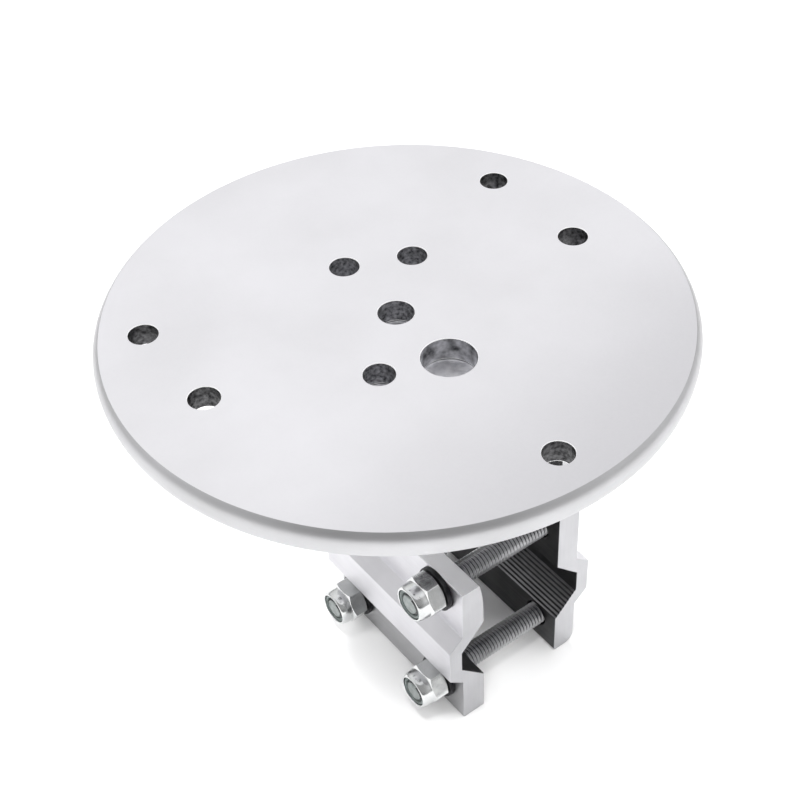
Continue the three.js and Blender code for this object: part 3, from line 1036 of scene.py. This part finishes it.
LOOKS = {
    "plate": plate_top_metal(),
    "underside": metal("plate_mill_finish", (0.68, 0.68, 0.69), (0.76, 0.76, 0.77), (0.42, 0.55),
                       grain_scale=700, grain_bump=0.2),
    # Painted shade: the rim is darker than the plate's top; the turned grain along it is its real finish
    "rim": metal("rim_turned_painted_shade", (0.52, 0.52, 0.53), (0.58, 0.58, 0.595), (0.40, 0.50), grain=(1, 1, 6),
                 grain_scale=900, grain_bump=0.1, patch_scale=40),
    # Painted shade and light on hole walls: one drilled finish, darkest in the plate's outer holes and the
    # jaws' holes, lighter over the foot, lightest in the large bore
    "drilled": drilled_metal("drilled_wall_painted_shade", 0.015, 0.15, 800),
    "shaded": drilled_metal("drilled_wall_over_foot_painted_shade", 0.12, 0.75, 900),
    "bored": drilled_metal("bored_wall_painted_light", 0.12, 0.95, 320),
    # Painted light: the foot's top is lighter, so that it shows lit at the bottom of the plate's holes
    "foot": drilled_metal("foot_top_painted_light", 0.7, 0.99, 450),
    # Painted highlight: the holes' rounded edges are bright and glow
    "edge": edge_metal("hole_edge_painted_glint", EDGE_GLINT),
    # Painted light: the moving jaw's top is brighter than its sides, for the light it would catch under the
    # plate
    "top": edge_metal("jaw_top_painted_light"),
    "jaw": extruded_metal("jaw_extruded", (0.59, 0.585, 0.61), (0.65, 0.645, 0.67), (0.3, 0.45), 0.12),
    # Painted shade: the moving jaw's outer face below the ridge is darker than its other sides
    "skirt": extruded_metal("jaw_skirt_painted_shade", (0.40, 0.40, 0.41), (0.47, 0.47, 0.48), (0.3, 0.45), 0.12),
    # Painted shade: the gripping faces are near black, for the deep shade between the jaws
    "grip": extruded_metal("jaw_grip_painted_shade", (0.05, 0.05, 0.052), (0.10, 0.10, 0.103), (0.38, 0.55), 0.2),
    # Painted shade, less deep than the gripping faces', on the teeth's tops
    "tooth": extruded_metal("jaw_tooth_painted_shade", (0.19, 0.19, 0.195), (0.28, 0.28, 0.285), (0.32, 0.45), 0.1),
    "cut_end": metal("jaw_cut_end", (0.46, 0.46, 0.475), (0.52, 0.52, 0.535), (0.36, 0.48),
                     grain=(1, 1, 0.08), grain_scale=1300, grain_bump=0.1, patch_scale=60),
    "nut": metal("nut_zinc", (0.60, 0.61, 0.61), (0.73, 0.74, 0.74), (0.13, 0.20), grain_scale=900,
                 grain_bump=0.03, patch_scale=200, wave_bump=0.03, wave_scale=260),
    # Painted shade: the washers are near black, for the shadow gap behind the nuts
    "washer": metal("washer_painted_shade", (0.025, 0.025, 0.027), (0.055, 0.055, 0.057), (0.4, 0.55), grain_scale=900,
                    grain_bump=0.05, patch_scale=300),
    "bolt": metal("thread_steel", (0.43, 0.43, 0.44), (0.55, 0.55, 0.56), (0.28, 0.36), grain_scale=800,
                  grain_bump=0.02, patch_scale=90),
    # Painted shade: the thread's roots are near black
    "root": metal("thread_root_painted_shade", (0.06, 0.06, 0.063), (0.11, 0.11, 0.113), (0.4, 0.55), grain_scale=800,
                  grain_bump=0.05, patch_scale=90),
    "tip": metal("bolt_tip_cut", (0.20, 0.22, 0.215), (0.33, 0.355, 0.35), (0.35, 0.5), grain_scale=900,
                 grain_bump=0.3, patch_scale=500),
    "screw": metal("screw_black_oxide", (0.035, 0.035, 0.04), (0.09, 0.09, 0.095), (0.28, 0.45),
                   grain_scale=1200, grain_bump=0.1, patch_scale=300),
    "nylon": nylon(),
}

build_plate()
clamp = [
    build_jaw("fixed_jaw_bracket", "fixed_jaw", "base"),
    build_jaw("moving_jaw", "sliding_jaw", "jaw"),
]
for spot in PLACES:
    clamp += [build_bolt(spot), build_nut(spot)]
    build_insert(spot)
    build_washer(f"nut_washer_{spot}", f"flat_washer_{spot}", "jaw", NUT_BORE, X_AXIS, along_x)
for number in (1, 2, 3, 4):
    build_plate_screw(number)
    build_washer(f"screw_washer_{number}", f"foot_washer_{number}", "base", FOOT_WASHER_BORE, Z_AXIS,
                 along_z)

build_camera()
build_world()
build_floor_lamps(build_floor(), clamp)
bpy.context.scene.view_settings.view_transform = "Standard"
